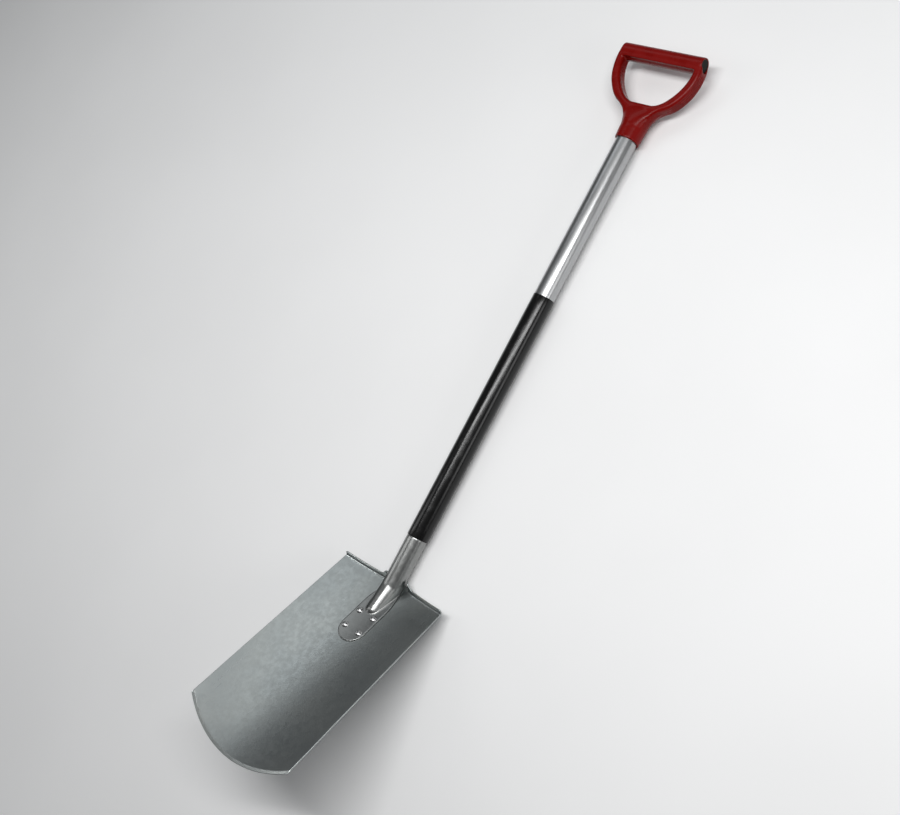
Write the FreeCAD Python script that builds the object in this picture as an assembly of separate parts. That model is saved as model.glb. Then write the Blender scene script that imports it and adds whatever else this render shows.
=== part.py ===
import FreeCAD, Part
import math
import os

# Garden spade: dished steel blade with forward-turned treads, riveted steel socket,
# aluminium shaft with a black sleeve, and a red D handle with black end plugs.
#
# Everything is first built in the shaft's frame: Z runs up the shaft to the handle, X is the
# blade's width and the digging face looks towards -Y.  The last step lays the spade on its
# back, digging face up, with the floor at Z = 0 and +Y towards the handle.  Millimetres.

Vector = FreeCAD.Vector
X_AXIS = Vector(1, 0, 0)
Y_AXIS = Vector(0, 1, 0)
Z_AXIS = Vector(0, 0, 1)

# Shaft tube and its sleeve, with Z measured along the shaft
TUBE_RADIUS = 15.0
TUBE_WALL = 1.5
TUBE_BOTTOM = -146.0
TUBE_TOP = 497.0
SLEEVE_WALL = 0.35
SLEEVE_TOP = 221.0
SLEEVE_BOTTOM = TUBE_BOTTOM

# Blade: the frame's origin is midway between its top corners, v runs up the blade, n to the front
BLADE_LIFT = 32.5
BLADE_ORIGIN = Vector(0, -2.9, -212.7)
SHEET = 2.0
DISH_RADIUS = 310.0
TOP_HALF_WIDTH = 89.9
TIP_HALF_WIDTH = 94.4
SIDE_LENGTH = 276.0
TIP_BULGE = 28.6

# Treads: the top edge of the sheet is turned to the front.  It rises a little to the neck, where
# it turns up beside the shaft as a lip that stands further forward.
TREAD_RISE = 8.0
TREAD_HEIGHT = 6.5
NECK_HALF_WIDTH = 18.0
NECK_TOP = 11.5
NECK_ROUND = 6.5
LIP_FRONT = 2.0
LIP_TOP_X = 20.0
LIP_FOOT_X = 29.0
FOLD_INSIDE_RADIUS = 2.0

# Socket: tube, hollow nose and riveted plate pressed from one sheet
SOCKET_RADIUS = 14.7
SOCKET_WALL = 1.8
KINK_HEIGHT = -220.0
NOSE_RADIUS = 11.0
NOSE_CENTRE_V = -42.0
NOSE_CENTRE_N = -17.2
PLATE_HALF_WIDTH = 20.5
PLATE_END_CENTRE = -80.0
PLATE_SHOULDER = -38.0
PLATE_TOP_HALF_WIDTH = 13.0
SPIGOT_TOP = -62.0
SPIGOT_WALL = 1.6

# Blade rivets
RIVET_SIDE = 12.75
RIVET_ROWS = (-54.5, -82.0)
RIVET_SHANK = 2.5
RIVET_HEAD = 5.0
RIVET_HEAD_HEIGHT = 2.9
RIVET_TAIL = 4.4
RIVET_TAIL_HEIGHT = 1.6

# Hidden pin that holds the socket's spigot in the shaft tube
SOCKET_PIN_HEIGHT = -108.0
SOCKET_PIN_RADIUS = 2.5

# D handle: it leans forward from the shaft, about a line across the collar
HANDLE_LEAN = 8.0
HANDLE_PIVOT = Vector(0, 0, 487.5)
COLLAR_BOTTOM = 464.2
COLLAR_RADIUS = 17.7
COLLAR_LENGTH = 18.0
NECK_SECTIONS = ((-6.0, 18.6, 18.6), (6.0, 20.4, 18.0), (16.0, 25.0, 15.5), (26.0, 34.0, 11.5))
BAR_HEIGHT = 100.4
BAR_RADIUS = 11.6
BAR_HALF_LENGTH = 64.6
BAR_BORE = 9.3
ARM_HALF_DEPTH = 11.0
ARM_ROUND = 5.0
OPENING_FLOOR = 32.0
PLUG_FACE = 63.8
PLUG_LENGTH = 12.0
PLUG_WALL = 1.8

# Rivet through the back of the collar
HANDLE_RIVET_HEIGHT = 477.0
HANDLE_RIVET_RADIUS = 2.0
HANDLE_RIVET_HEAD = 4.0
HANDLE_RIVET_SEAT = 16.4

# Fineness of the points that the resting position is found from
REST_DETAIL = 0.02

# Room that is larger than the blade in every direction, in the blade's frame
LOW_V = -400.0
HIGH_V = 120.0
LOW_N = -40.0
HIGH_N = 30.0

# How near to a plane an edge's middle lies when the edge lies in it
NEAR = 0.01


def vertical_cylinder(radius, bottom, top):
    return Part.makeCylinder(radius, top - bottom, Vector(0, 0, bottom), Z_AXIS)


def vertical_tube(outer, inner, bottom, top):
    return vertical_cylinder(outer, bottom, top).cut(vertical_cylinder(inner, bottom, top))


# Blade -------------------------------------------------------------------------------------

def from_blade_frame(shape):
    """Turn a shape from the blade's frame (x, v up the blade, n to the front) to the shaft's."""
    placed = shape.copy()
    placed.rotate(Vector(0, 0, 0), X_AXIS, 90.0 - BLADE_LIFT)
    placed.translate(BLADE_ORIGIN)
    return placed


def dish_sag():
    return DISH_RADIUS - math.sqrt(DISH_RADIUS ** 2 - TOP_HALF_WIDTH ** 2)


def dish_centre():
    return DISH_RADIUS - dish_sag()


def dish_cylinder(radius):
    """A long cylinder about the dish's centre of curvature, along the blade."""
    foot = Vector(0, LOW_V, dish_centre())
    return Part.makeCylinder(radius, HIGH_V - LOW_V, foot, Y_AXIS)


def line(a, b):
    return Part.LineSegment(a, b).toShape()


def arc(a, middle, b):
    return Part.Arc(a, middle, b).toShape()


def mirrored(points):
    return [Vector(-p.x, p.y, p.z) for p in points]


def tread_line(inset):
    """Corner point, start, middle and end of the round that turns the tread up the neck."""
    slope = math.atan2(TREAD_RISE, TOP_HALF_WIDTH - NECK_HALF_WIDTH)
    normal = Vector(math.sin(slope), math.cos(slope), 0)
    centre_x = NECK_HALF_WIDTH + NECK_ROUND
    foot_x = centre_x - NECK_ROUND * normal.x
    foot = Vector(foot_x, (TOP_HALF_WIDTH - foot_x) * math.tan(slope), 0)
    centre = foot + normal * NECK_ROUND
    radius = NECK_ROUND + inset
    end_angle = math.asin((NECK_TOP - centre.y) / radius)
    start_angle = -math.pi / 2 - slope
    middle_angle = (start_angle + (-math.pi - end_angle)) / 2
    corner = Vector(TOP_HALF_WIDTH, 0, 0) - normal * inset
    start = centre + Vector(math.cos(start_angle), math.sin(start_angle), 0) * radius
    middle = centre + Vector(math.cos(middle_angle), math.sin(middle_angle), 0) * radius
    end = centre + Vector(-math.cos(end_angle), math.sin(end_angle), 0) * radius
    return corner, start, middle, end


def blade_outline():
    corner, start, middle, end = tread_line(0.0)
    corner_l, start_l, middle_l, end_l = mirrored([corner, start, middle, end])
    tip = Vector(TIP_HALF_WIDTH, -SIDE_LENGTH, 0)
    tip_l = Vector(-TIP_HALF_WIDTH, -SIDE_LENGTH, 0)
    edges = [
        line(tip, corner),
        line(corner, start),
        arc(start, middle, end),
        line(end, end_l),
        arc(end_l, middle_l, start_l),
        line(start_l, corner_l),
        line(corner_l, tip_l),
        arc(tip_l, Vector(0, -SIDE_LENGTH - TIP_BULGE, 0), tip),
    ]
    return Part.Face(Part.Wire(edges))


def tread_band():
    """The strip of the outline that the turned-up treads and neck walls stand on, right side."""
    outer = tread_line(0.0)
    inner = tread_line(SHEET)
    edges = [
        line(outer[0], outer[1]),
        arc(outer[1], outer[2], outer[3]),
        line(outer[3], inner[3]),
        arc(inner[3], inner[2], inner[1]),
        line(inner[1], inner[0]),
        line(inner[0], outer[0]),
    ]
    return Part.Face(Part.Wire(edges))


def raised(face):
    """A face in the blade's x-v plane, extruded through the whole depth of the blade."""
    shifted = face.copy()
    shifted.translate(Vector(0, 0, LOW_N))
    return shifted.extrude(Vector(0, 0, HIGH_N - LOW_N))


def edges_at(shape, places, reach=1.5):
    """The shape's edges whose middles lie at the given places."""
    return [e for e in shape.Edges if any((e.CenterOfMass - p).Length < reach for p in places)]


def on_front_face(place):
    """The same place in plan, on the dished front face."""
    height = dish_centre() - math.sqrt(DISH_RADIUS ** 2 - place.x ** 2)
    return Vector(place.x, place.y, height)


def fold_edges(shape):
    """The inside corners between the dished face and the treads and neck walls."""
    corner, start, middle, end = tread_line(SHEET)
    right = [on_front_face((corner + start) / 2), on_front_face(middle)]
    return edges_at(shape, right + mirrored(right))


def rim_room():
    """All the room up to the rim of the right tread and its lip, in the x-n plane, along v."""
    reach = TIP_HALF_WIDTH
    rim_radius = DISH_RADIUS - TREAD_HEIGHT

    def on_rim(x):
        return Vector(x, 0, dish_centre() - math.sqrt(rim_radius ** 2 - x ** 2))

    lip_top = Vector(LIP_TOP_X, 0, LIP_FRONT)
    inside = Vector(NECK_HALF_WIDTH / 2, 0, LIP_FRONT)
    edges = [
        line(inside, lip_top),
        line(lip_top, on_rim(LIP_FOOT_X)),
        arc(on_rim(LIP_FOOT_X), on_rim((LIP_FOOT_X + reach) / 2), on_rim(reach)),
        line(on_rim(reach), Vector(reach, 0, LOW_N)),
        line(Vector(reach, 0, LOW_N), Vector(inside.x, 0, LOW_N)),
        line(Vector(inside.x, 0, LOW_N), inside),
    ]
    face = Part.Face(Part.Wire(edges))
    face.translate(Vector(0, -NECK_TOP, 0))
    return face.extrude(Vector(0, 3 * NECK_TOP, 0))


def blade_solid():
    front = dish_cylinder(DISH_RADIUS)
    back = dish_cylinder(DISH_RADIUS + SHEET)
    sheet = raised(blade_outline()).common(back.cut(front))
    tread = raised(tread_band()).common(back).common(rim_room())
    blade = sheet.fuse([tread, tread.mirror(Vector(0, 0, 0), X_AXIS)]).removeSplitter()
    blade = blade.makeFillet(FOLD_INSIDE_RADIUS, fold_edges(blade))
    return from_blade_frame(blade.cut(rivet_shanks()))


# Rivets of the blade ------------------------------------------------------------------------

def swung_to(shape, x, v):
    """Carry a shape from the dish's middle to (x, v), so that its axis stays square to the dish."""
    swing = -math.degrees(math.asin(x / DISH_RADIUS))
    placed = shape.copy()
    placed.translate(Vector(0, v, 0))
    placed.rotate(Vector(0, v, dish_centre()), Y_AXIS, -swing)
    return placed


def rivet_places():
    return [(side * RIVET_SIDE, row) for row in RIVET_ROWS for side in (-1, 1)]


def dome(radius, height, base):
    """A shallow domed head that stands on its base, towards the front."""
    ball = (radius ** 2 + height ** 2) / (2 * height)
    sphere = Part.makeSphere(ball, Vector(0, 0, base + height - ball))
    room = Part.makeCylinder(2 * radius, 2 * height, Vector(0, 0, base), Z_AXIS)
    return sphere.common(room)


def rivet_shank():
    length = SHEET + SOCKET_WALL
    base = Vector(0, 0, -dish_sag() - SHEET)
    return Part.makeCylinder(RIVET_SHANK, length, base, Z_AXIS)


def rivet():
    face = -dish_sag() + SOCKET_WALL
    head = dome(RIVET_HEAD, RIVET_HEAD_HEIGHT, face)
    tail = dome(RIVET_TAIL, RIVET_TAIL_HEIGHT, 0.0)
    tail.rotate(Vector(0, 0, 0), X_AXIS, 180)
    tail.translate(Vector(0, 0, -dish_sag() - SHEET))
    return rivet_shank().fuse([head, tail]).removeSplitter()


def rivet_shanks():
    through = SHEET + SOCKET_WALL
    foot = Vector(0, 0, -dish_sag() - through)
    grown = Part.makeCylinder(RIVET_SHANK, 2 * through, foot, Z_AXIS)
    return Part.makeCompound([swung_to(grown, x, v) for x, v in rivet_places()])


def blade_rivet_solids(blade, socket):
    """Four domed rivets, each trimmed where its heads sit on the dished sheets."""
    raw = [from_blade_frame(swung_to(rivet(), x, v)) for x, v in rivet_places()]
    return Part.makeCompound([r.cut([blade, socket]).Solids[0] for r in raw])


# Socket -------------------------------------------------------------------------------------

def plate_outline():
    right = [
        Vector(PLATE_TOP_HALF_WIDTH, 2.0, 0),
        Vector(15.9, -9.0, 0),
        Vector(19.6, -25.0, 0),
        Vector(PLATE_HALF_WIDTH, PLATE_SHOULDER, 0),
        Vector(PLATE_HALF_WIDTH, PLATE_END_CENTRE, 0),
    ]
    left = mirrored(right)
    end = Vector(0, PLATE_END_CENTRE - PLATE_HALF_WIDTH, 0)
    side_r = Part.BSplineCurve()
    side_r.interpolate(right[:4])
    side_l = Part.BSplineCurve()
    side_l.interpolate(left[:4][::-1])
    edges = [
        side_r.toShape(),
        line(right[3], right[4]),
        arc(right[4], end, left[4]),
        line(left[4], left[3]),
        side_l.toShape(),
        line(left[0], right[0]),
    ]
    return Part.Face(Part.Wire(edges))


def nose_centre():
    probe = Part.Vertex(Vector(0, NOSE_CENTRE_V, NOSE_CENTRE_N))
    return from_blade_frame(probe).Point


def tangent_cone(radius_a, radius_b, centre_a, centre_b):
    """The solid cone that touches two spheres, from one circle of contact to the other."""
    span = centre_b - centre_a
    along = Vector(span)
    along.normalize()
    sine = (radius_a - radius_b) / span.Length
    cosine = math.sqrt(1.0 - sine ** 2)
    foot = centre_a + along * (radius_a * sine)
    top = centre_b + along * (radius_b * sine)
    return Part.makeCone(radius_a * cosine, radius_b * cosine, (top - foot).Length, foot, along)


def socket_body(inset):
    """The tube and the nose that it tapers to, as one filled body, drawn in by an inset."""
    tube_radius = SOCKET_RADIUS - inset
    nose_radius = NOSE_RADIUS - inset
    kink = Vector(0, 0, KINK_HEIGHT)
    nose = nose_centre()
    tube = vertical_cylinder(tube_radius, KINK_HEIGHT, TUBE_BOTTOM)
    pieces = [
        Part.makeSphere(tube_radius, kink),
        tangent_cone(tube_radius, nose_radius, kink, nose),
        Part.makeSphere(nose_radius, nose),
    ]
    return tube.fuse(pieces).removeSplitter()


def behind_blade_face():
    """All the room behind the dished face, where the socket has nothing."""
    size = Vector(2 * TIP_HALF_WIDTH, HIGH_V - LOW_V, -2 * LOW_N)
    corner = Vector(-TIP_HALF_WIDTH, LOW_V, 2 * LOW_N)
    block = Part.makeBox(size.x, size.y, size.z, corner)
    return from_blade_frame(block.cut(dish_cylinder(DISH_RADIUS)))


def socket_solid():
    skin = dish_cylinder(DISH_RADIUS).cut(dish_cylinder(DISH_RADIUS - SOCKET_WALL))
    plate = raised(plate_outline()).common(skin).cut(rivet_shanks())
    body = socket_body(0.0).fuse(from_blade_frame(plate))
    body = body.cut([behind_blade_face(), socket_body(SOCKET_WALL)])
    spigot_radius = TUBE_RADIUS - TUBE_WALL
    shoulder = SPIGOT_WALL
    spigot = vertical_cylinder(spigot_radius, TUBE_BOTTOM - shoulder, SPIGOT_TOP)
    bore = vertical_cylinder(spigot_radius - SPIGOT_WALL, TUBE_BOTTOM - 2 * shoulder, SPIGOT_TOP)
    body = body.fuse(spigot).cut([bore, socket_pin_hole()])
    return body.removeSplitter()


# Shaft --------------------------------------------------------------------------------------

def socket_pin_hole():
    base = Vector(0, -2 * TUBE_RADIUS, SOCKET_PIN_HEIGHT)
    return Part.makeCylinder(SOCKET_PIN_RADIUS, 4 * TUBE_RADIUS, base, Y_AXIS)


def socket_pin_solid():
    return socket_pin_hole().common(vertical_cylinder(TUBE_RADIUS, TUBE_BOTTOM, SPIGOT_TOP))


def cross_rod(radius, front, back):
    """A rod through the back of the collar, from one depth to another."""
    base = Vector(0, front, HANDLE_RIVET_HEIGHT)
    return Part.makeCylinder(radius, back - front, base, Y_AXIS)


def handle_rivet_shank(front, back):
    return cross_rod(HANDLE_RIVET_RADIUS, front, back)


def shaft_tube_solid():
    tube = vertical_tube(TUBE_RADIUS, TUBE_RADIUS - TUBE_WALL, TUBE_BOTTOM, TUBE_TOP)
    return tube.cut([socket_pin_hole(), handle_rivet_shank(0.0, 2 * TUBE_RADIUS)])


def shaft_sleeve_solid():
    return vertical_tube(TUBE_RADIUS + SLEEVE_WALL, TUBE_RADIUS, SLEEVE_BOTTOM, SLEEVE_TOP)


# Handle -------------------------------------------------------------------------------------

def from_handle_frame(shape):
    """Handle frame: x across, h up the leaning handle from the pivot, d to its back."""
    placed = shape.copy()
    placed.rotate(Vector(0, 0, 0), X_AXIS, HANDLE_LEAN)
    placed.translate(HANDLE_PIVOT)
    return placed


def spline(points):
    curve = Part.BSplineCurve()
    curve.interpolate(points)
    return curve.toShape()


def arm_outline():
    """The outside of the two arms and the web between them, in the x-h plane."""
    right = [
        Vector(22.0, 0, 14.0),
        Vector(32.0, 0, 25.0),
        Vector(44.0, 0, 32.5),
        Vector(55.0, 0, 44.5),
        Vector(63.5, 0, 60.0),
        Vector(67.6, 0, 78.0),
        Vector(67.2, 0, BAR_HEIGHT),
    ]
    left = mirrored(right)
    edges = [
        spline(right),
        line(right[-1], left[-1]),
        spline(left[::-1]),
        line(left[0], right[0]),
    ]
    return Part.Face(Part.Wire(edges))


def opening_outline():
    """The D-shaped opening for the hand, in the x-h plane."""
    right = [
        Vector(16.0, 0, OPENING_FLOOR),
        Vector(28.0, 0, 36.5),
        Vector(40.0, 0, 47.5),
        Vector(49.5, 0, 62.0),
        Vector(54.5, 0, 76.0),
        Vector(56.0, 0, BAR_HEIGHT - BAR_RADIUS + 2.0),
    ]
    left = mirrored(right)
    edges = [
        spline(right),
        line(right[-1], left[-1]),
        spline(left[::-1]),
        line(left[0], right[0]),
    ]
    return Part.Face(Part.Wire(edges))


def slab(face, half_depth):
    shifted = face.copy()
    shifted.translate(Vector(0, -half_depth, 0))
    return shifted.extrude(Vector(0, 2 * half_depth, 0))


def ellipse_wire(height, half_width, half_depth):
    """A closed section of the neck, square to the leaning handle."""
    centre = Vector(0, 0, height)
    if half_width > half_depth:
        return Part.Wire([Part.Ellipse(centre, half_width, half_depth).toShape()])
    return Part.Wire([Part.Circle(centre, Z_AXIS, half_width).toShape()])


def neck_solid():
    """The collar round the tube, widening into the web."""
    return Part.makeLoft([ellipse_wire(*section) for section in NECK_SECTIONS], True)


def bar_solid(radius, half_length):
    return Part.makeCylinder(radius, 2 * half_length, Vector(-half_length, 0, BAR_HEIGHT), X_AXIS)


def handle_bore():
    return vertical_cylinder(TUBE_RADIUS, COLLAR_BOTTOM - COLLAR_LENGTH, TUBE_TOP)


def arm_edges(ring):
    """The front and back edges of both arms and of the opening's floor."""
    flat = [e for e in ring.Edges if abs(abs(e.CenterOfMass.y) - ARM_HALF_DEPTH) < NEAR]
    floor = [e for e in flat if abs(e.CenterOfMass.z - OPENING_FLOOR) < NEAR]
    return floor + [e for e in flat if e.Curve.TypeId != "Part::GeomLine"]


def arm_ring():
    """Both arms and the web between them, with rounded edges."""
    ring = slab(arm_outline(), ARM_HALF_DEPTH).cut(slab(opening_outline(), 2 * ARM_HALF_DEPTH))
    return ring.makeFillet(ARM_ROUND, arm_edges(ring))


def d_handle_solid():
    ring = arm_ring()
    upper = ring.fuse([bar_solid(BAR_RADIUS, BAR_HALF_LENGTH), neck_solid()])
    upper = upper.cut(bar_solid(BAR_BORE, 2 * BAR_HALF_LENGTH))
    foot = Vector(0, 0, COLLAR_BOTTOM)
    collar = Part.makeCone(COLLAR_RADIUS, NECK_SECTIONS[0][1], COLLAR_LENGTH, foot, Z_AXIS)
    body = from_handle_frame(upper).fuse(collar)
    seat = cross_rod(HANDLE_RIVET_HEAD, HANDLE_RIVET_SEAT, 2 * TUBE_RADIUS)
    hole = handle_rivet_shank(0.0, 2 * TUBE_RADIUS)
    return body.cut([handle_bore(), hole, seat]).removeSplitter()


def grip_plug_solid(side):
    """A push-in plug whose face is just inside the end of the bar."""
    length = PLUG_LENGTH
    start = Vector(side * (PLUG_FACE - length), 0, BAR_HEIGHT)
    plug = Part.makeCylinder(BAR_BORE, length, start, X_AXIS * side)
    hollow = Part.makeCylinder(BAR_BORE - PLUG_WALL, length - PLUG_WALL, start, X_AXIS * side)
    return from_handle_frame(plug.cut(hollow))


def handle_rivet_solid():
    """A rivet whose head lies sunk in the back of the collar."""
    shank = handle_rivet_shank(TUBE_RADIUS - 2 * TUBE_WALL, HANDLE_RIVET_SEAT)
    head = cross_rod(HANDLE_RIVET_HEAD, HANDLE_RIVET_SEAT, COLLAR_RADIUS)
    return shank.fuse(head).removeSplitter()


# Assembly -----------------------------------------------------------------------------------

def low_point(shape):
    points = shape.tessellate(REST_DETAIL)[0]
    return min(points, key=lambda p: p.z)


def extent(shapes, axis):
    values = [getattr(p, axis) for s in shapes for p in s.tessellate(REST_DETAIL)[0]]
    return min(values), max(values)


def laid_down(pieces):
    """Lay the spade on its back on the floor at Z = 0, on its heel and its collar.

    +Y points to the handle, and the origin is under the middle of its box.
    """
    laid = {name: shape.copy() for name, shape in pieces.items()}
    for shape in laid.values():
        shape.rotate(Vector(0, 0, 0), X_AXIS, -90.0)
    heel = low_point(laid["blade"])
    collar = low_point(laid["d_handle"])
    tilt = math.degrees(math.atan2(heel.z - collar.z, collar.y - heel.y))
    for shape in laid.values():
        shape.rotate(Vector(0, 0, 0), X_AXIS, tilt)
    ends = extent(laid.values(), "y")
    floor = extent([laid["blade"], laid["d_handle"]], "z")[0]
    for shape in laid.values():
        shape.translate(Vector(0, -(ends[0] + ends[1]) / 2, -floor))
    return laid


def build():
    socket = socket_solid()
    socket_room = socket_body(0.0).cut(behind_blade_face())
    blade = blade_solid().cut(socket_room)
    return {
        "blade": blade,
        "socket": socket,
        "blade_rivets": blade_rivet_solids(blade, socket),
        "socket_pin": socket_pin_solid(),
        "shaft_tube": shaft_tube_solid(),
        "shaft_sleeve": shaft_sleeve_solid(),
        "d_handle": d_handle_solid(),
        "grip_plug_left": grip_plug_solid(-1),
        "grip_plug_right": grip_plug_solid(1),
        "handle_rivet": handle_rivet_solid(),
    }


os.makedirs("parts", exist_ok=True)
for name, shape in laid_down(build()).items():
    shape.exportStep("parts/" + name + ".step")
    low = [round(extent([shape], axis)[0], 2) for axis in "xyz"]
    high = [round(extent([shape], axis)[1], 2) for axis in "xyz"]
    print(name, shape.isValid(), len(shape.Solids), round(shape.Volume), low, high)
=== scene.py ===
import math

import bmesh
import bpy
from mathutils import Matrix, Vector, noise


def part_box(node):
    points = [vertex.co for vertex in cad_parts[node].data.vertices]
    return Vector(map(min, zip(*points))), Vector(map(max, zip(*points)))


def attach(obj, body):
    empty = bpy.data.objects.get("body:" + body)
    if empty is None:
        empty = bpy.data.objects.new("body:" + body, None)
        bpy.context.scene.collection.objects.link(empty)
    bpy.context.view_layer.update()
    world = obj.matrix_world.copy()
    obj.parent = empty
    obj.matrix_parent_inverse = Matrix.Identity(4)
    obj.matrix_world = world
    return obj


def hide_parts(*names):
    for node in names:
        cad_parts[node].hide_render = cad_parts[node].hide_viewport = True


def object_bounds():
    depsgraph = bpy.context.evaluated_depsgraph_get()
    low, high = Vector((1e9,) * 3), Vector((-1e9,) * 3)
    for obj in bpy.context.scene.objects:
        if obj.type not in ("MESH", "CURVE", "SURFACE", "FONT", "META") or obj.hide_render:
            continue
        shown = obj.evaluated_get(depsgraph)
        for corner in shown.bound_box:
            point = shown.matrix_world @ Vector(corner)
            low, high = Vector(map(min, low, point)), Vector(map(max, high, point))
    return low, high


# Garden spade on its back on a pale studio floor.  Everything is in metres in the CAD's frame:
# +Y up the shaft to the handle, +X across the blade, +Z up.  Shapes are drawn in millimetres in
# three local frames (shaft, blade, handle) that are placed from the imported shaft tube.

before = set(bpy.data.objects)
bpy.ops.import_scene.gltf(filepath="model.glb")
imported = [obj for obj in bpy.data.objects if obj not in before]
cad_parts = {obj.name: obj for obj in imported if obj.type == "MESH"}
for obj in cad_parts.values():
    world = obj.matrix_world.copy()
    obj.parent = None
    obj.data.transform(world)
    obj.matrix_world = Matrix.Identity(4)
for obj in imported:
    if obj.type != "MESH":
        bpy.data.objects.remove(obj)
cad_low, cad_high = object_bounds()

MM = 0.001

# Camera
CAMERA_PLACE = Vector((0.8182, -0.10471, 1.23769))
CAMERA_AIM = Vector((0.0, -0.03346, 0.09209))
CAMERA_ROLL = -57.944
CAMERA_LENS = 43.55

# Shaft, measured up the shaft from the tube's lower end
TUBE_WALL = 1.5
SLEEVE_WALL = 0.35
SLEEVE_LENGTH = 367.0

# Blade frame: its origin's place along and in front of the shaft, and how far it leans back
BLADE_LIFT = 32.5
BLADE_ALONG = -66.7
BLADE_FRONT = 2.9
SHEET = 2.0
DISH_RADIUS = 310.0
TOP_HALF_WIDTH = 89.9
TIP_HALF_WIDTH = 94.4
SIDE_LENGTH = 276.0
TIP_BULGE = 28.6
TREAD_RISE = 8.0
TREAD_HEIGHT = 6.5
NECK_HALF_WIDTH = 18.0
NECK_TOP = 11.5
NECK_ROUND = 6.5
LIP_FRONT = 2.0
LIP_TOP_X = 20.0
LIP_FOOT_X = 29.0
FOLD_RADIUS = 3.0
CORNER_ROUND = 4.0
BEVEL_LENGTH = 3.6
EDGE_THICKNESS = 0.6
EDGE_STEPS = (0.0, 0.05, 0.15, 0.35, 0.65, 1.0)
BEVEL_STEPS = (0.0, 0.08, 0.2, 0.4, 1.2, 2.4, 3.3, 3.6, 3.9, 5.5)

# Rivets: places on the dish, and their heads
PLATE_THICKNESS = 1.8
RIVET_SIDE = 12.75
RIVET_ROWS = (-54.5, -82.0)
RIVET_HEAD = 5.0
RIVET_HEAD_HEIGHT = 2.9
RIVET_TAIL = 4.4
RIVET_TAIL_HEIGHT = 1.6
RIVET_SHANK = 2.5
RIVET_SINK = 0.15

# Handle frame: the pivot's place up the shaft and the forward lean
HANDLE_PIVOT = 633.5
HANDLE_LEAN = 8.0
GROOVES = (-6.0, -2.0, 2.0, 6.0)
GROOVE_HALF_WIDTH = 0.9
GROOVE_DEPTH = 0.9
GROOVES_LOW = 27.0
GROOVES_HIGH = 87.0


# Local frames -------------------------------------------------------------------------------

def shaft_frame():
    """Millimetres up the shaft (y), across (x) and to the front (z), from the tube's low end."""
    low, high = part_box("shaft_tube")
    radius = (high.x - low.x) / 2
    foot = Vector((0.0, low.y, low.z + radius))
    head = Vector((0.0, high.y, high.z - radius))
    angle = math.atan2(head.z - foot.z, head.y - foot.y)
    turn = Matrix.Rotation(angle, 4, "X")
    return Matrix.Translation(foot) @ turn @ Matrix.Scale(MM, 4), radius / MM


def blade_frame(shaft):
    """x across, y up the blade, z to the front."""
    place = Matrix.Translation((0.0, BLADE_ALONG, BLADE_FRONT))
    return shaft @ place @ Matrix.Rotation(math.radians(-BLADE_LIFT), 4, "X")


def handle_frame(shaft):
    """x across, y up the leaning handle, z to the front."""
    place = Matrix.Translation((0.0, HANDLE_PIVOT, 0.0))
    return shaft @ place @ Matrix.Rotation(math.radians(HANDLE_LEAN), 4, "X")


SHAFT, TUBE_RADIUS = shaft_frame()
BLADE = blade_frame(SHAFT)
HANDLE = handle_frame(SHAFT)


# Mesh helpers -------------------------------------------------------------------------------

def piece_from(name, mesh, slot_name, paint, *nodes):
    """A finished piece of the spade: it rides on the one body and stands for CAD nodes."""
    piece = bpy.data.objects.new(name, mesh)
    bpy.context.scene.collection.objects.link(piece)
    mesh.shade_smooth()
    mesh.materials.clear()
    mesh.materials.append(paint)
    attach(piece, "root")
    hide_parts(*nodes)
    return piece


def mesh_from(name, points, faces, place, merge=0.004):
    """A mesh from points in a local frame in millimetres, placed in metres, facing outwards."""
    work = bmesh.new()
    made = [work.verts.new(p) for p in points]
    for face in faces:
        work.faces.new([made[i] for i in face])
    bmesh.ops.remove_doubles(work, verts=work.verts, dist=merge)
    bmesh.ops.dissolve_degenerate(work, edges=work.edges, dist=merge / 4)
    bmesh.ops.recalc_face_normals(work, faces=work.faces)
    bmesh.ops.transform(work, matrix=place, verts=work.verts)
    mesh = bpy.data.meshes.new(name)
    work.to_mesh(mesh)
    work.free()
    return mesh


def grid_faces(columns, rows, first=0):
    """Four-sided faces between neighbouring columns of points."""
    return [
        (first + i * rows + j, first + (i + 1) * rows + j,
         first + (i + 1) * rows + j + 1, first + i * rows + j + 1)
        for i in range(columns - 1) for j in range(rows - 1)
    ]


def graded(length, count, start=(0.0,), end=(0.0,)):
    """Distances from 0 to length: close together at the ends, evenly spaced between them."""
    middle = length - start[-1] - end[-1]
    inner = [start[-1] + middle * i / count for i in range(count + 1)]
    return list(start[:-1]) + inner + [length - d for d in reversed(end[:-1])]


def lathe(profile, segments=128):
    """Points and faces of a closed profile of (radius, along y) turned round the y axis."""
    points = []
    for i in range(segments):
        turn = 2 * math.pi * i / segments
        points += [Vector((r * math.sin(turn), y, r * math.cos(turn))) for r, y in profile]
    rows = len(profile)
    faces = []
    for i in range(segments):
        here = i * rows
        there = (i + 1) % segments * rows
        faces += [(here + j, there + j, there + (j + 1) % rows, here + (j + 1) % rows)
                  for j in range(rows)]
    return points, faces


def round_corner(radius, y, size, quarter, steps=4):
    """Points of a rounded corner of a profile. quarter 0: outer low, 1: outer high, 2, 3: inner."""
    across = (1, 1, -1, -1)[quarter]
    up = (-1, 1, 1, -1)[quarter]
    centre = (radius - across * size, y - up * size)
    points = []
    for i in range(steps + 1):
        turn = math.pi / 2 * i / steps
        flat, steep = math.sin(turn), math.cos(turn)
        if quarter in (1, 3):
            flat, steep = steep, flat
        points.append((centre[0] + across * size * flat, centre[1] + up * size * steep))
    return points


def tube_profile(outer, inner, low, high, size, rings):
    """A tube's section with rounded rims, and rings along its outside."""
    along = [low + (high - low) * i / rings for i in range(1, rings)]
    profile = round_corner(outer, low, size, 0)
    profile += [(outer, y) for y in along]
    profile += round_corner(outer, high, size, 1)
    profile += round_corner(inner, high, size, 2)
    profile += round_corner(inner, low, size, 3)
    return profile


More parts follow.
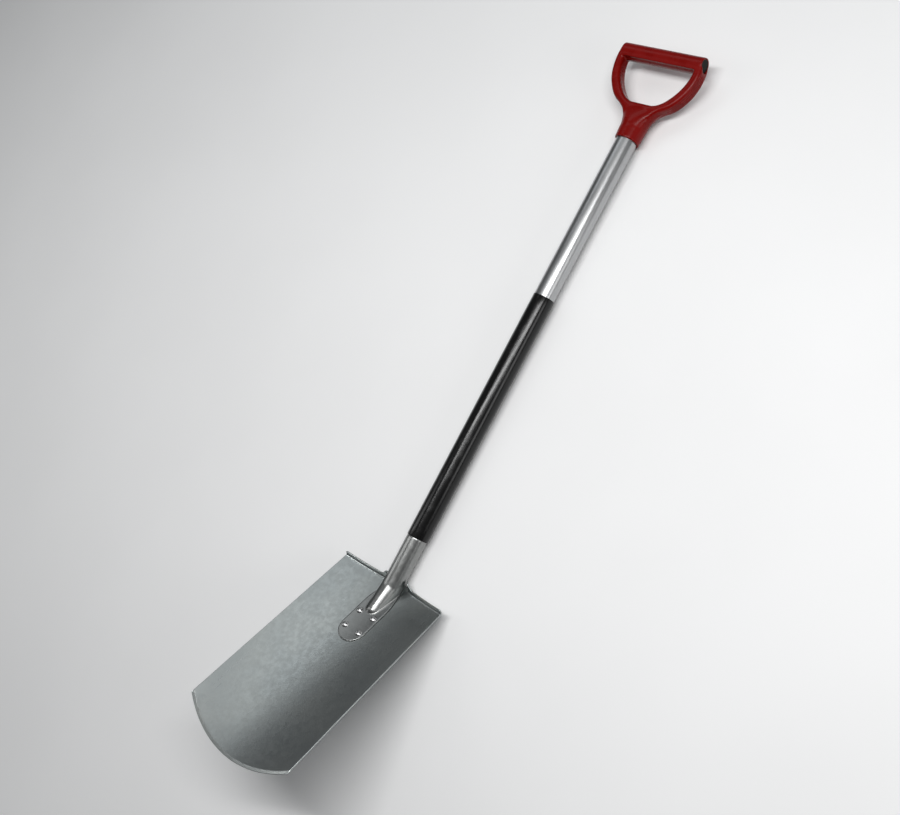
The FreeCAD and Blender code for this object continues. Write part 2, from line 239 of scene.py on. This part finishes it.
def moved(mesh, shift):
    """Move every point of a mesh by what shift gives for its place and normal, in metres."""
    shifts = [shift(vertex.co, vertex.normal) for vertex in mesh.vertices]
    for vertex, step in zip(mesh.vertices, shifts):
        vertex.co += step
    mesh.update()


def remeshed(node, voxel, rounds):
    """A CAD node's skin as one even mesh whose edges are softened, in metres."""
    work = bmesh.new()
    work.from_mesh(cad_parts[node].data)
    bmesh.ops.remove_doubles(work, verts=work.verts, dist=1e-6)
    source = bpy.data.meshes.new(node + "_skin")
    work.to_mesh(source)
    work.free()
    holder = bpy.data.objects.new(node + "_holder", source)
    bpy.context.scene.collection.objects.link(holder)
    even = holder.modifiers.new("even", "REMESH")
    even.mode = "VOXEL"
    even.voxel_size = voxel * MM
    soften = holder.modifiers.new("soften", "SMOOTH")
    soften.factor = 0.5
    soften.iterations = rounds
    graph = bpy.context.evaluated_depsgraph_get()
    mesh = bpy.data.meshes.new_from_object(holder.evaluated_get(graph))
    bpy.data.objects.remove(holder)
    bpy.data.meshes.remove(source)
    return mesh


# Blade --------------------------------------------------------------------------------------

MIDDLE_RADIUS = DISH_RADIUS + SHEET / 2
DISH_CENTRE = math.sqrt(DISH_RADIUS ** 2 - TOP_HALF_WIDTH ** 2)
TREAD_SLOPE = math.atan2(TREAD_RISE, TOP_HALF_WIDTH - NECK_HALF_WIDTH)
TREAD_UP = Vector((math.sin(TREAD_SLOPE), math.cos(TREAD_SLOPE)))
TREAD_ALONG = Vector((TREAD_UP.y, -TREAD_UP.x))
EDGE_RADIUS = (TIP_HALF_WIDTH ** 2 + TIP_BULGE ** 2) / (2 * TIP_BULGE)
EDGE_CENTRE = EDGE_RADIUS - SIDE_LENGTH - TIP_BULGE
ROUND_X = NECK_HALF_WIDTH + NECK_ROUND
FOOT_X = ROUND_X - NECK_ROUND * TREAD_UP.x
FOOT = Vector((FOOT_X, (TOP_HALF_WIDTH - FOOT_X) * math.tan(TREAD_SLOPE)))
ROUND_CENTRE = FOOT + TREAD_UP * NECK_ROUND


def side_at(v):
    """The blade's half width at a height v."""
    return TOP_HALF_WIDTH - (TIP_HALF_WIDTH - TOP_HALF_WIDTH) * v / SIDE_LENGTH


def dish_height(x):
    return DISH_CENTRE - math.sqrt(MIDDLE_RADIUS ** 2 - x ** 2)


def dish_normal(x):
    return Vector((-x, 0.0, math.sqrt(MIDDLE_RADIUS ** 2 - x ** 2))) / MIDDLE_RADIUS


def rim_height(x):
    """The front rim of the treads, which follows the dish and rises beside the shaft."""
    rim = DISH_CENTRE - math.sqrt((DISH_RADIUS - TREAD_HEIGHT) ** 2 - x ** 2)
    share = min(max((LIP_FOOT_X - x) / (LIP_FOOT_X - LIP_TOP_X), 0.0), 1.0)
    return rim + (LIP_FRONT - rim) * share * share * (3 - 2 * share)


def tread_point(stretch, share, inset):
    """A place on the top edge's right half, drawn in by an inset, and the inward direction."""
    if stretch == "line":
        foot = FOOT - TREAD_UP * inset
        spread = (TIP_HALF_WIDTH - TOP_HALF_WIDTH) / SIDE_LENGTH
        gap = TOP_HALF_WIDTH - spread * foot.y - foot.x
        corner = foot + TREAD_ALONG * gap / (TREAD_ALONG.x + spread * TREAD_ALONG.y)
        return corner.lerp(foot, share), -TREAD_UP
    radius = NECK_ROUND + inset
    start = -math.pi / 2 - TREAD_SLOPE
    end = -math.pi - math.asin((NECK_TOP - ROUND_CENTRE.y) / radius)
    angle = start + (end - start) * share
    inward = Vector((math.cos(angle), math.sin(angle)))
    return ROUND_CENTRE + inward * radius, inward


def tread_stations():
    """Stations along the top edge's right half, from the corner to the neck's end."""
    length = (TOP_HALF_WIDTH - FOOT.x) / TREAD_UP.y
    around = NECK_ROUND * math.radians(65.0)
    line = [("line", d / length) for d in graded(length, 34, EDGE_STEPS + (1.7, 2.6, 3.5, 4.5))]
    turn = [("arc", d / around) for d in graded(around, 16, (0.0,), EDGE_STEPS)]
    return line + turn[1:]


def edge_share(distance, reach=0.8, power=2.4):
    """The sheet's half thickness near a cut edge, as a share, so that the edge is rounded."""
    share = min(max(distance / reach, 0.0), 1.0)
    return (1.0 - (1.0 - share) ** power) ** (1.0 / power)


def sheet_faces(middle, normal, to_cut, to_edge):
    """Front and back points of the sheet about its middle, with the ground cutting edge."""
    half = SHEET / 2 * edge_share(to_cut)
    inside = min(to_edge / BEVEL_LENGTH, 1.0)
    ground = EDGE_THICKNESS - half + (2 * half - EDGE_THICKNESS) * inside
    front = min(half, ground)
    centre = (front - half) / 2
    spread = (front + half) / 2 * edge_share(to_edge, 0.3)
    return middle + normal * (centre + spread), middle + normal * (centre - spread)


def sheet_pair(x, v):
    """Front and back points of the dished sheet at a place (x, v)."""
    to_cut = min(side_at(v) - x, NECK_TOP - v)
    to_edge = EDGE_RADIUS - math.hypot(x, v - EDGE_CENTRE) if v < EDGE_CENTRE else BEVEL_LENGTH
    return sheet_faces(Vector((x, v, dish_height(x))), dish_normal(x), to_cut, to_edge)


def tread_pair(station, turn, rise):
    """Front and back points of the fold (turn from 0 to 90 degrees) and the tread over it."""
    base = tread_point(*station, FOLD_RADIUS + SHEET / 2)[0]
    inset = SHEET / 2 + FOLD_RADIUS * (1 - math.sin(turn))
    place, inward = tread_point(*station, inset)
    bottom = dish_height(base.x) + FOLD_RADIUS
    to_side = max(0.0, side_at(place.y) - place.x)
    short = max(0.0, CORNER_ROUND - to_side)
    top = rim_height(place.x) - CORNER_ROUND + math.sqrt(CORNER_ROUND ** 2 - short ** 2)
    height = bottom - FOLD_RADIUS * math.cos(turn) + (top - bottom) * rise
    normal = dish_normal(base.x) * math.cos(turn) + Vector((*inward, 0.0)) * math.sin(turn)
    to_cut = min(top - height, NECK_TOP - place.y, to_side)
    return sheet_faces(Vector((*place, height)), normal.normalized(), to_cut, BEVEL_LENGTH)


def half_blade():
    """Points and faces of the blade's right half."""
    stations = tread_stations()
    tops = [tread_point(*s, FOLD_RADIUS + SHEET / 2)[0] for s in stations]
    neck = tops[-1].x
    tops += [Vector((neck * (1 - i / 8), NECK_TOP)) for i in range(1, 9)]
    widen = TIP_HALF_WIDTH / tops[0].x
    fronts, backs = [], []
    for top in tops:
        x = top.x * widen
        foot = Vector((x, EDGE_CENTRE - math.sqrt(EDGE_RADIUS ** 2 - x ** 2)))
        length = (top - foot).length
        steps = graded(length, 56, EDGE_STEPS, BEVEL_STEPS)
        pairs = [sheet_pair(*top.lerp(foot, d / length)) for d in steps]
        fronts += [p[0] for p in pairs]
        backs += [p[1] for p in pairs]
    rows = len(steps)
    points = fronts + backs
    faces = grid_faces(len(tops), rows) + grid_faces(len(tops), rows, len(fronts))
    turns = [(math.pi / 2 * i / 8, 0.0) for i in range(8)]
    height = TREAD_HEIGHT + SHEET / 2 - FOLD_RADIUS
    turns += [(math.pi / 2, d / height) for d in graded(height, 6, (0.0,), EDGE_STEPS)]
    pairs = [tread_pair(s, *t) for s in stations for t in turns]
    for side in (0, 1):
        faces += grid_faces(len(stations), len(turns), len(points))
        points += [p[side] for p in pairs]
    return points, faces


def blade_waves(co, _normal):
    """The slight unevenness of a pressed sheet, in metres, square to the blade."""
    local = BLADE.inverted() @ co
    place = Vector((local.x / 75.0, local.y / 95.0, 3.7))
    return (BLADE.to_3x3().col[2]) * (0.22 * noise.noise(place))


def make_blade():
    points, faces = half_blade()
    count = len(points)
    points += [Vector((-p.x, p.y, p.z)) for p in points]
    faces += [tuple(count + i for i in reversed(face)) for face in faces]
    mesh = mesh_from("blade_sheet", points, faces, BLADE)
    moved(mesh, blade_waves)
    return piece_from("blade_sheet", mesh, "blade_steel", blade_steel(), "blade")


# Rivets -------------------------------------------------------------------------------------

def dome_profile(radius, height, base, steps=10):
    """A domed head's section from its rim to its top, as (radius, height)."""
    ball = (radius ** 2 + height ** 2) / (2 * height)
    reach = math.asin(min(1.0, radius / ball))
    if height > radius:
        reach = math.pi - reach
    drop = base + height - ball
    turns = [reach * (1 - i / steps) for i in range(steps + 1)]
    return [(ball * math.sin(turn), drop + ball * math.cos(turn)) for turn in turns]


def rivet_points():
    """One rivet about the y axis, with y from the dish's front face, head up and tail down."""
    head = dome_profile(RIVET_HEAD, RIVET_HEAD_HEIGHT, PLATE_THICKNESS - RIVET_SINK)
    tail = dome_profile(RIVET_TAIL, RIVET_TAIL_HEIGHT, SHEET - RIVET_SINK)
    shank = [(RIVET_SHANK, PLATE_THICKNESS - RIVET_SINK), (RIVET_SHANK, RIVET_SINK - SHEET)]
    profile = head[::-1] + shank + [(r, -y) for r, y in tail]
    return lathe(profile, 48)


def make_rivets():
    points, faces = [], []
    for row in RIVET_ROWS:
        for side in (-1, 1):
            swing = math.asin(side * RIVET_SIDE / DISH_RADIUS)
            one, one_faces = rivet_points()
            turn = Matrix.Rotation(-swing, 3, "Y")
            normal = Vector((-math.sin(swing), 0.0, math.cos(swing)))
            foot = Vector((0.0, row, DISH_CENTRE)) - normal * DISH_RADIUS
            faces += [tuple(len(points) + i for i in f) for f in one_faces]
            points += [foot + turn @ Vector((p.x, -p.z, p.y)) for p in one]
    mesh = mesh_from("blade_rivet_set", points, faces, BLADE)
    return piece_from("blade_rivet_set", mesh, "rivet_steel", rivet_steel(), "blade_rivets")


# Socket, tube and sleeve ----------------------------------------------------------------------

def make_socket():
    mesh = remeshed("socket", 0.68, 12)
    return piece_from("socket_pressing", mesh, "socket_steel", socket_steel(), "socket")


def make_tube():
    low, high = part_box("shaft_tube")
    length = (high.y - low.y) / MM
    profile = tube_profile(TUBE_RADIUS, TUBE_RADIUS - TUBE_WALL, 0.0, length, 0.3, 40)
    mesh = mesh_from("shaft_tube_drawn", *lathe(profile), SHAFT)
    return piece_from("shaft_tube_drawn", mesh, "shaft_aluminium", aluminium(), "shaft_tube")


def make_sleeve():
    profile = tube_profile(TUBE_RADIUS + SLEEVE_WALL, TUBE_RADIUS + 0.02, 0.0, SLEEVE_LENGTH,
                           0.14, 24)
    mesh = mesh_from("shaft_sleeve_skin", *lathe(profile), SHAFT)
    return piece_from("shaft_sleeve_skin", mesh, "sleeve_black", sleeve_black(), "shaft_sleeve")


# Handle -------------------------------------------------------------------------------------

def arm_grooves(co, normal):
    """The lengthwise grooves moulded in the outer sides of the arms, in metres."""
    local = HANDLE.inverted() @ co
    outwards = abs(normal.x) if normal.x * local.x > 0 else 0.0
    ends = min(local.y - GROOVES_LOW, GROOVES_HIGH - local.y)
    if outwards < 0.5 or ends < 0.0:
        return Vector((0.0, 0.0, 0.0))
    depth = sum(math.exp(-((local.z - g) / GROOVE_HALF_WIDTH) ** 2) for g in GROOVES)
    depth *= GROOVE_DEPTH * min(ends / 2.0, 1.0) * min((outwards - 0.5) / 0.2, 1.0)
    return -normal * (depth * MM)


def make_handle():
    mesh = remeshed("d_handle", 0.8, 18)
    moved(mesh, arm_grooves)
    return piece_from("handle_moulding", mesh, "handle_red", handle_red(), "d_handle")


# Materials ----------------------------------------------------------------------------------

# Places of the colour sockets on a mix node
COLOUR_A = 6
COLOUR_B = 7
COLOUR_OUT = 2


class Paint:
    """A material's nodes, with short ways to add procedural detail."""

    def __init__(self, name, tilt=0.0):
        self.material = bpy.data.materials.new(name)
        self.material.use_nodes = True
        self.tree = self.material.node_tree
        self.shader = self.tree.nodes["Principled BSDF"]
        self.tilt = math.radians(tilt)
        self.place = self.tree.nodes.new("ShaderNodeTexCoord").outputs["Object"]

    def node(self, kind, **inputs):
        made = self.tree.nodes.new(kind)
        for name, value in inputs.items():
            self.set(made.inputs[name.replace("_", " ")], value)
        return made

    def set(self, socket, value):
        if isinstance(value, bpy.types.NodeSocket):
            self.tree.links.new(value, socket)
        else:
            socket.default_value = value

    def stretched(self, scale):
        """Object coordinates, turned by the paint's tilt about x, then scaled."""
        turn = self.node("ShaderNodeMapping", Vector=self.place)
        turn.inputs["Rotation"].default_value = (self.tilt, 0.0, 0.0)
        grow = self.node("ShaderNodeMapping", Vector=turn.outputs[0])
        grow.inputs["Scale"].default_value = scale
        return grow.outputs[0]

    def noise(self, scale, detail=3.0, rough=0.5):
        """Cloudy noise; scale is in cycles per metre along x, y and z."""
        made = self.node("ShaderNodeTexNoise", Vector=self.stretched(scale), Scale=1.0,
                         Detail=detail, Roughness=rough)
        return made.outputs["Fac"]

    def ramp(self, value, low, high, start=0.0, end=1.0):
        """Map a value between low and high to the range from start to end."""
        made = self.node("ShaderNodeMapRange", Value=value)
        made.inputs["From Min"].default_value = low
        made.inputs["From Max"].default_value = high
        made.inputs["To Min"].default_value = start
        made.inputs["To Max"].default_value = end
        made.interpolation_type = "SMOOTHSTEP"
        return made.outputs["Result"]

    def mix(self, share, first, second):
        made = self.node("ShaderNodeMix")
        made.data_type = "RGBA"
        self.set(made.inputs["Factor"], share)
        self.set(made.inputs[COLOUR_A], first)
        self.set(made.inputs[COLOUR_B], second)
        return made.outputs[COLOUR_OUT]

    def math(self, kind, first, second=0.0):
        made = self.node("ShaderNodeMath")
        made.operation = kind
        self.set(made.inputs[0], first)
        self.set(made.inputs[1], second)
        return made.outputs[0]

    def bump(self, height, strength, distance, under=None):
        made = self.node("ShaderNodeBump", Height=height, Strength=strength, Distance=distance)
        if under is not None:
            self.set(made.inputs["Normal"], under)
        return made.outputs["Normal"]

    def edges(self, low=0.52, high=0.62):
        """Near 1 on outer edges and corners, where a finish wears."""
        made = self.node("ShaderNodeNewGeometry")
        return self.ramp(made.outputs["Pointiness"], low, high)

    def finish(self, colour, roughness, normal=None, metal=0.0, shine=0.5):
        self.set(self.shader.inputs["Base Color"], colour)
        self.set(self.shader.inputs["Roughness"], roughness)
        self.shader.inputs["Metallic"].default_value = metal
        self.shader.inputs["Specular IOR Level"].default_value = shine
        if normal is not None:
            self.set(self.shader.inputs["Normal"], normal)
        return self.material


def grey(value, warm=0.0):
    return (value * (1 + warm), value, value * (1 - warm), 1.0)


def blade_steel():
    paint = Paint("blade_steel", BLADE_LIFT)
    clouds = paint.ramp(paint.noise((16.0, 12.0, 16.0), 4.0, 0.5), 0.3, 0.7)
    mottle = paint.ramp(paint.noise((170.0, 130.0, 170.0), 4.0, 0.6), 0.3, 0.7)
    scratches = paint.ramp(paint.noise((900.0, 14.0, 900.0), 4.0, 0.7), 0.60, 0.72)
    grain = paint.noise((1500.0, 60.0, 1500.0), 3.0, 0.6)
    colour = paint.mix(clouds, (0.36, 0.385, 0.385, 1.0), (0.41, 0.43, 0.42, 1.0))
    colour = paint.mix(paint.math("MULTIPLY", mottle, 0.4), colour, (0.29, 0.305, 0.30, 1.0))
    colour = paint.mix(paint.math("MULTIPLY", scratches, 0.25), colour, grey(0.60))
    colour = paint.mix(paint.edges(), colour, grey(0.66))
    rough = paint.ramp(mottle, 0.0, 1.0, 0.30, 0.35)
    rough = paint.math("SUBTRACT", rough, paint.math("MULTIPLY", scratches, 0.06))
    normal = paint.bump(grain, 0.08, 0.0004)
    normal = paint.bump(mottle, 0.06, 0.0006, normal)
    return paint.finish(colour, rough, normal, 1.0)


def socket_steel():
    paint = Paint("socket_steel")
    mottle = paint.ramp(paint.noise((210.0, 150.0, 210.0), 4.0, 0.6), 0.3, 0.7)
    grain = paint.noise((1400.0, 90.0, 1400.0), 3.0, 0.6)
    colour = paint.mix(mottle, (0.27, 0.275, 0.27, 1.0), (0.31, 0.315, 0.31, 1.0))
    rough = paint.ramp(mottle, 0.0, 1.0, 0.29, 0.33)
    normal = paint.bump(grain, 0.02, 0.0003)
    return paint.finish(colour, rough, normal, 1.0)


def rivet_steel():
    paint = Paint("rivet_steel")
    mottle = paint.ramp(paint.noise((500.0, 500.0, 500.0), 3.0), 0.3, 0.7)
    colour = paint.mix(mottle, grey(0.48), grey(0.60))
    rough = paint.ramp(mottle, 0.0, 1.0, 0.18, 0.26)
    return paint.finish(colour, rough, paint.bump(mottle, 0.08, 0.0003), 1.0)


def pin_steel():
    paint = Paint("pin_steel")
    rings = paint.noise((300.0, 300.0, 300.0), 3.0)
    colour = paint.mix(paint.ramp(rings, 0.3, 0.7), grey(0.42), grey(0.56))
    rough = paint.ramp(rings, 0.3, 0.7, 0.28, 0.4)
    return paint.finish(colour, rough, paint.bump(rings, 0.1, 0.0003), 1.0)


def aluminium():
    paint = Paint("shaft_aluminium")
    lines = paint.noise((900.0, 8.0, 900.0), 4.0, 0.7)
    clouds = paint.ramp(paint.noise((60.0, 12.0, 60.0), 4.0, 0.6), 0.3, 0.7)
    colour = paint.mix(paint.ramp(lines, 0.3, 0.7), grey(0.41, -0.015), grey(0.47, -0.01))
    colour = paint.mix(paint.math("MULTIPLY", clouds, 0.2), colour, grey(0.37))
    rough = paint.ramp(clouds, 0.0, 1.0, 0.28, 0.32)
    return paint.finish(colour, rough, paint.bump(lines, 0.02, 0.0003), 1.0)


def sleeve_black():
    paint = Paint("sleeve_black")
    dust = paint.ramp(paint.noise((50.0, 30.0, 50.0), 6.0, 0.65), 0.45, 0.75)
    scuffs = paint.ramp(paint.noise((700.0, 30.0, 700.0), 4.0, 0.7), 0.56, 0.72)
    colour = paint.mix(paint.math("MULTIPLY", dust, 0.15), grey(0.003), grey(0.012))
    colour = paint.mix(paint.math("MULTIPLY", scuffs, 0.08), colour, grey(0.03))
    rough = paint.math("ADD", paint.ramp(dust, 0.0, 1.0, 0.2, 0.3),
                       paint.ramp(scuffs, 0.0, 1.0, 0.0, 0.1))
    normal = paint.bump(paint.noise((220.0, 40.0, 220.0), 3.0), 0.015, 0.0005)
    return paint.finish(colour, rough, normal, shine=0.35)


def handle_red():
    paint = Paint("handle_red")
    clouds = paint.ramp(paint.noise((40.0, 40.0, 40.0), 5.0, 0.6), 0.3, 0.7)
    peel = paint.noise((420.0, 420.0, 420.0), 3.0, 0.5)
    colour = paint.mix(clouds, (0.15, 0.002, 0.001, 1.0), (0.18, 0.003, 0.002, 1.0))
    rough = paint.ramp(clouds, 0.0, 1.0, 0.24, 0.32)
    return paint.finish(colour, rough, paint.bump(peel, 0.02, 0.0004), shine=0.14)


def plug_black():
    paint = Paint("plug_black")
    grain = paint.noise((900.0, 900.0, 900.0), 4.0, 0.6)
    colour = paint.mix(paint.ramp(grain, 0.35, 0.65), (0.002, 0.002, 0.001, 1.0),
                       (0.006, 0.006, 0.004, 1.0))
    rough = paint.ramp(grain, 0.3, 0.7, 0.42, 0.56)
    return paint.finish(colour, rough, paint.bump(grain, 0.2, 0.0003), shine=0.1)


def floor_paint():
    paint = Paint("floor_pale")
    grain = paint.ramp(paint.noise((3.0, 3.0, 3.0), 4.0), 0.3, 0.7)
    colour = paint.mix(grain, grey(0.84), grey(0.86))
    return paint.finish(colour, paint.ramp(grain, 0.0, 1.0, 0.88, 0.92))


# Studio -------------------------------------------------------------------------------------

def make_floor():
    work = bmesh.new()
    bmesh.ops.create_grid(work, x_segments=8, y_segments=8, size=6.0)
    mesh = bpy.data.meshes.new("floor")
    work.to_mesh(mesh)
    work.free()
    mesh.materials.append(floor_paint())
    floor = bpy.data.objects.new("floor", mesh)
    floor.location.z = cad_low[2]
    bpy.context.scene.collection.objects.link(floor)


def softbox(name, place, aim, width, height, power, tint=(1.0, 1.0, 1.0)):
    light = bpy.data.lights.new(name, "AREA")
    light.shape = "RECTANGLE"
    light.size = width
    light.size_y = height
    light.energy = power
    light.color = tint
    lamp = bpy.data.objects.new(name, light)
    bpy.context.scene.collection.objects.link(lamp)
    lamp.location = place
    lamp.rotation_euler = (Vector(aim) - Vector(place)).to_track_quat("-Z", "Y").to_euler()
    return lamp


def make_lights():
    softbox("strip", (0.42, 0.25, 1.7), (0.0, 0.1, 0.0), 0.22, 1.9, 28.0)
    softbox("far_wide", (-0.65, 1.3, 1.5), (0.0, -0.3, 0.0), 1.6, 0.7, 4.5, (0.94, 0.98, 1.0))
    softbox("faint_side", (-1.6, -0.4, 1.3), (0.0, 0.0, 0.0), 0.3, 1.2, 3.0)
    softbox("low_fill", (1.6, 0.2, 0.6), (0.0, 0.0, 0.05), 0.8, 0.5, 4.0)
    world = bpy.data.worlds.new("studio")
    world.use_nodes = True
    sky = world.node_tree.nodes["Background"]
    sky.inputs["Color"].default_value = (0.94, 0.97, 1.0, 1.0)
    sky.inputs["Strength"].default_value = 0.12
    bpy.context.scene.world = world
    bpy.context.scene.view_settings.view_transform = "Standard"


def make_camera():
    camera = bpy.data.cameras.new("photo_camera")
    camera.lens = CAMERA_LENS
    camera.clip_start = 0.01
    holder = bpy.data.objects.new("photo_camera", camera)
    bpy.context.scene.collection.objects.link(holder)
    look = (CAMERA_AIM - CAMERA_PLACE).to_track_quat("-Z", "Y").to_matrix().to_4x4()
    roll = Matrix.Rotation(math.radians(CAMERA_ROLL), 4, "Z")
    holder.matrix_world = Matrix.Translation(CAMERA_PLACE) @ look @ roll
    bpy.context.scene.camera = holder


def finish_cad(node, paint):
    """A CAD node whose shape is right gets a better material."""
    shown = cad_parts[node]
    shown.data.materials.clear()
    shown.data.materials.append(paint)


make_camera()
make_floor()
make_lights()
make_blade()
make_rivets()
make_socket()
make_tube()
make_sleeve()
make_handle()
plug_paint = plug_black()
pin_paint = pin_steel()
for node in ("grip_plug_left", "grip_plug_right"):
    finish_cad(node, plug_paint)
for node in ("socket_pin", "handle_rivet"):
    finish_cad(node, pin_paint)
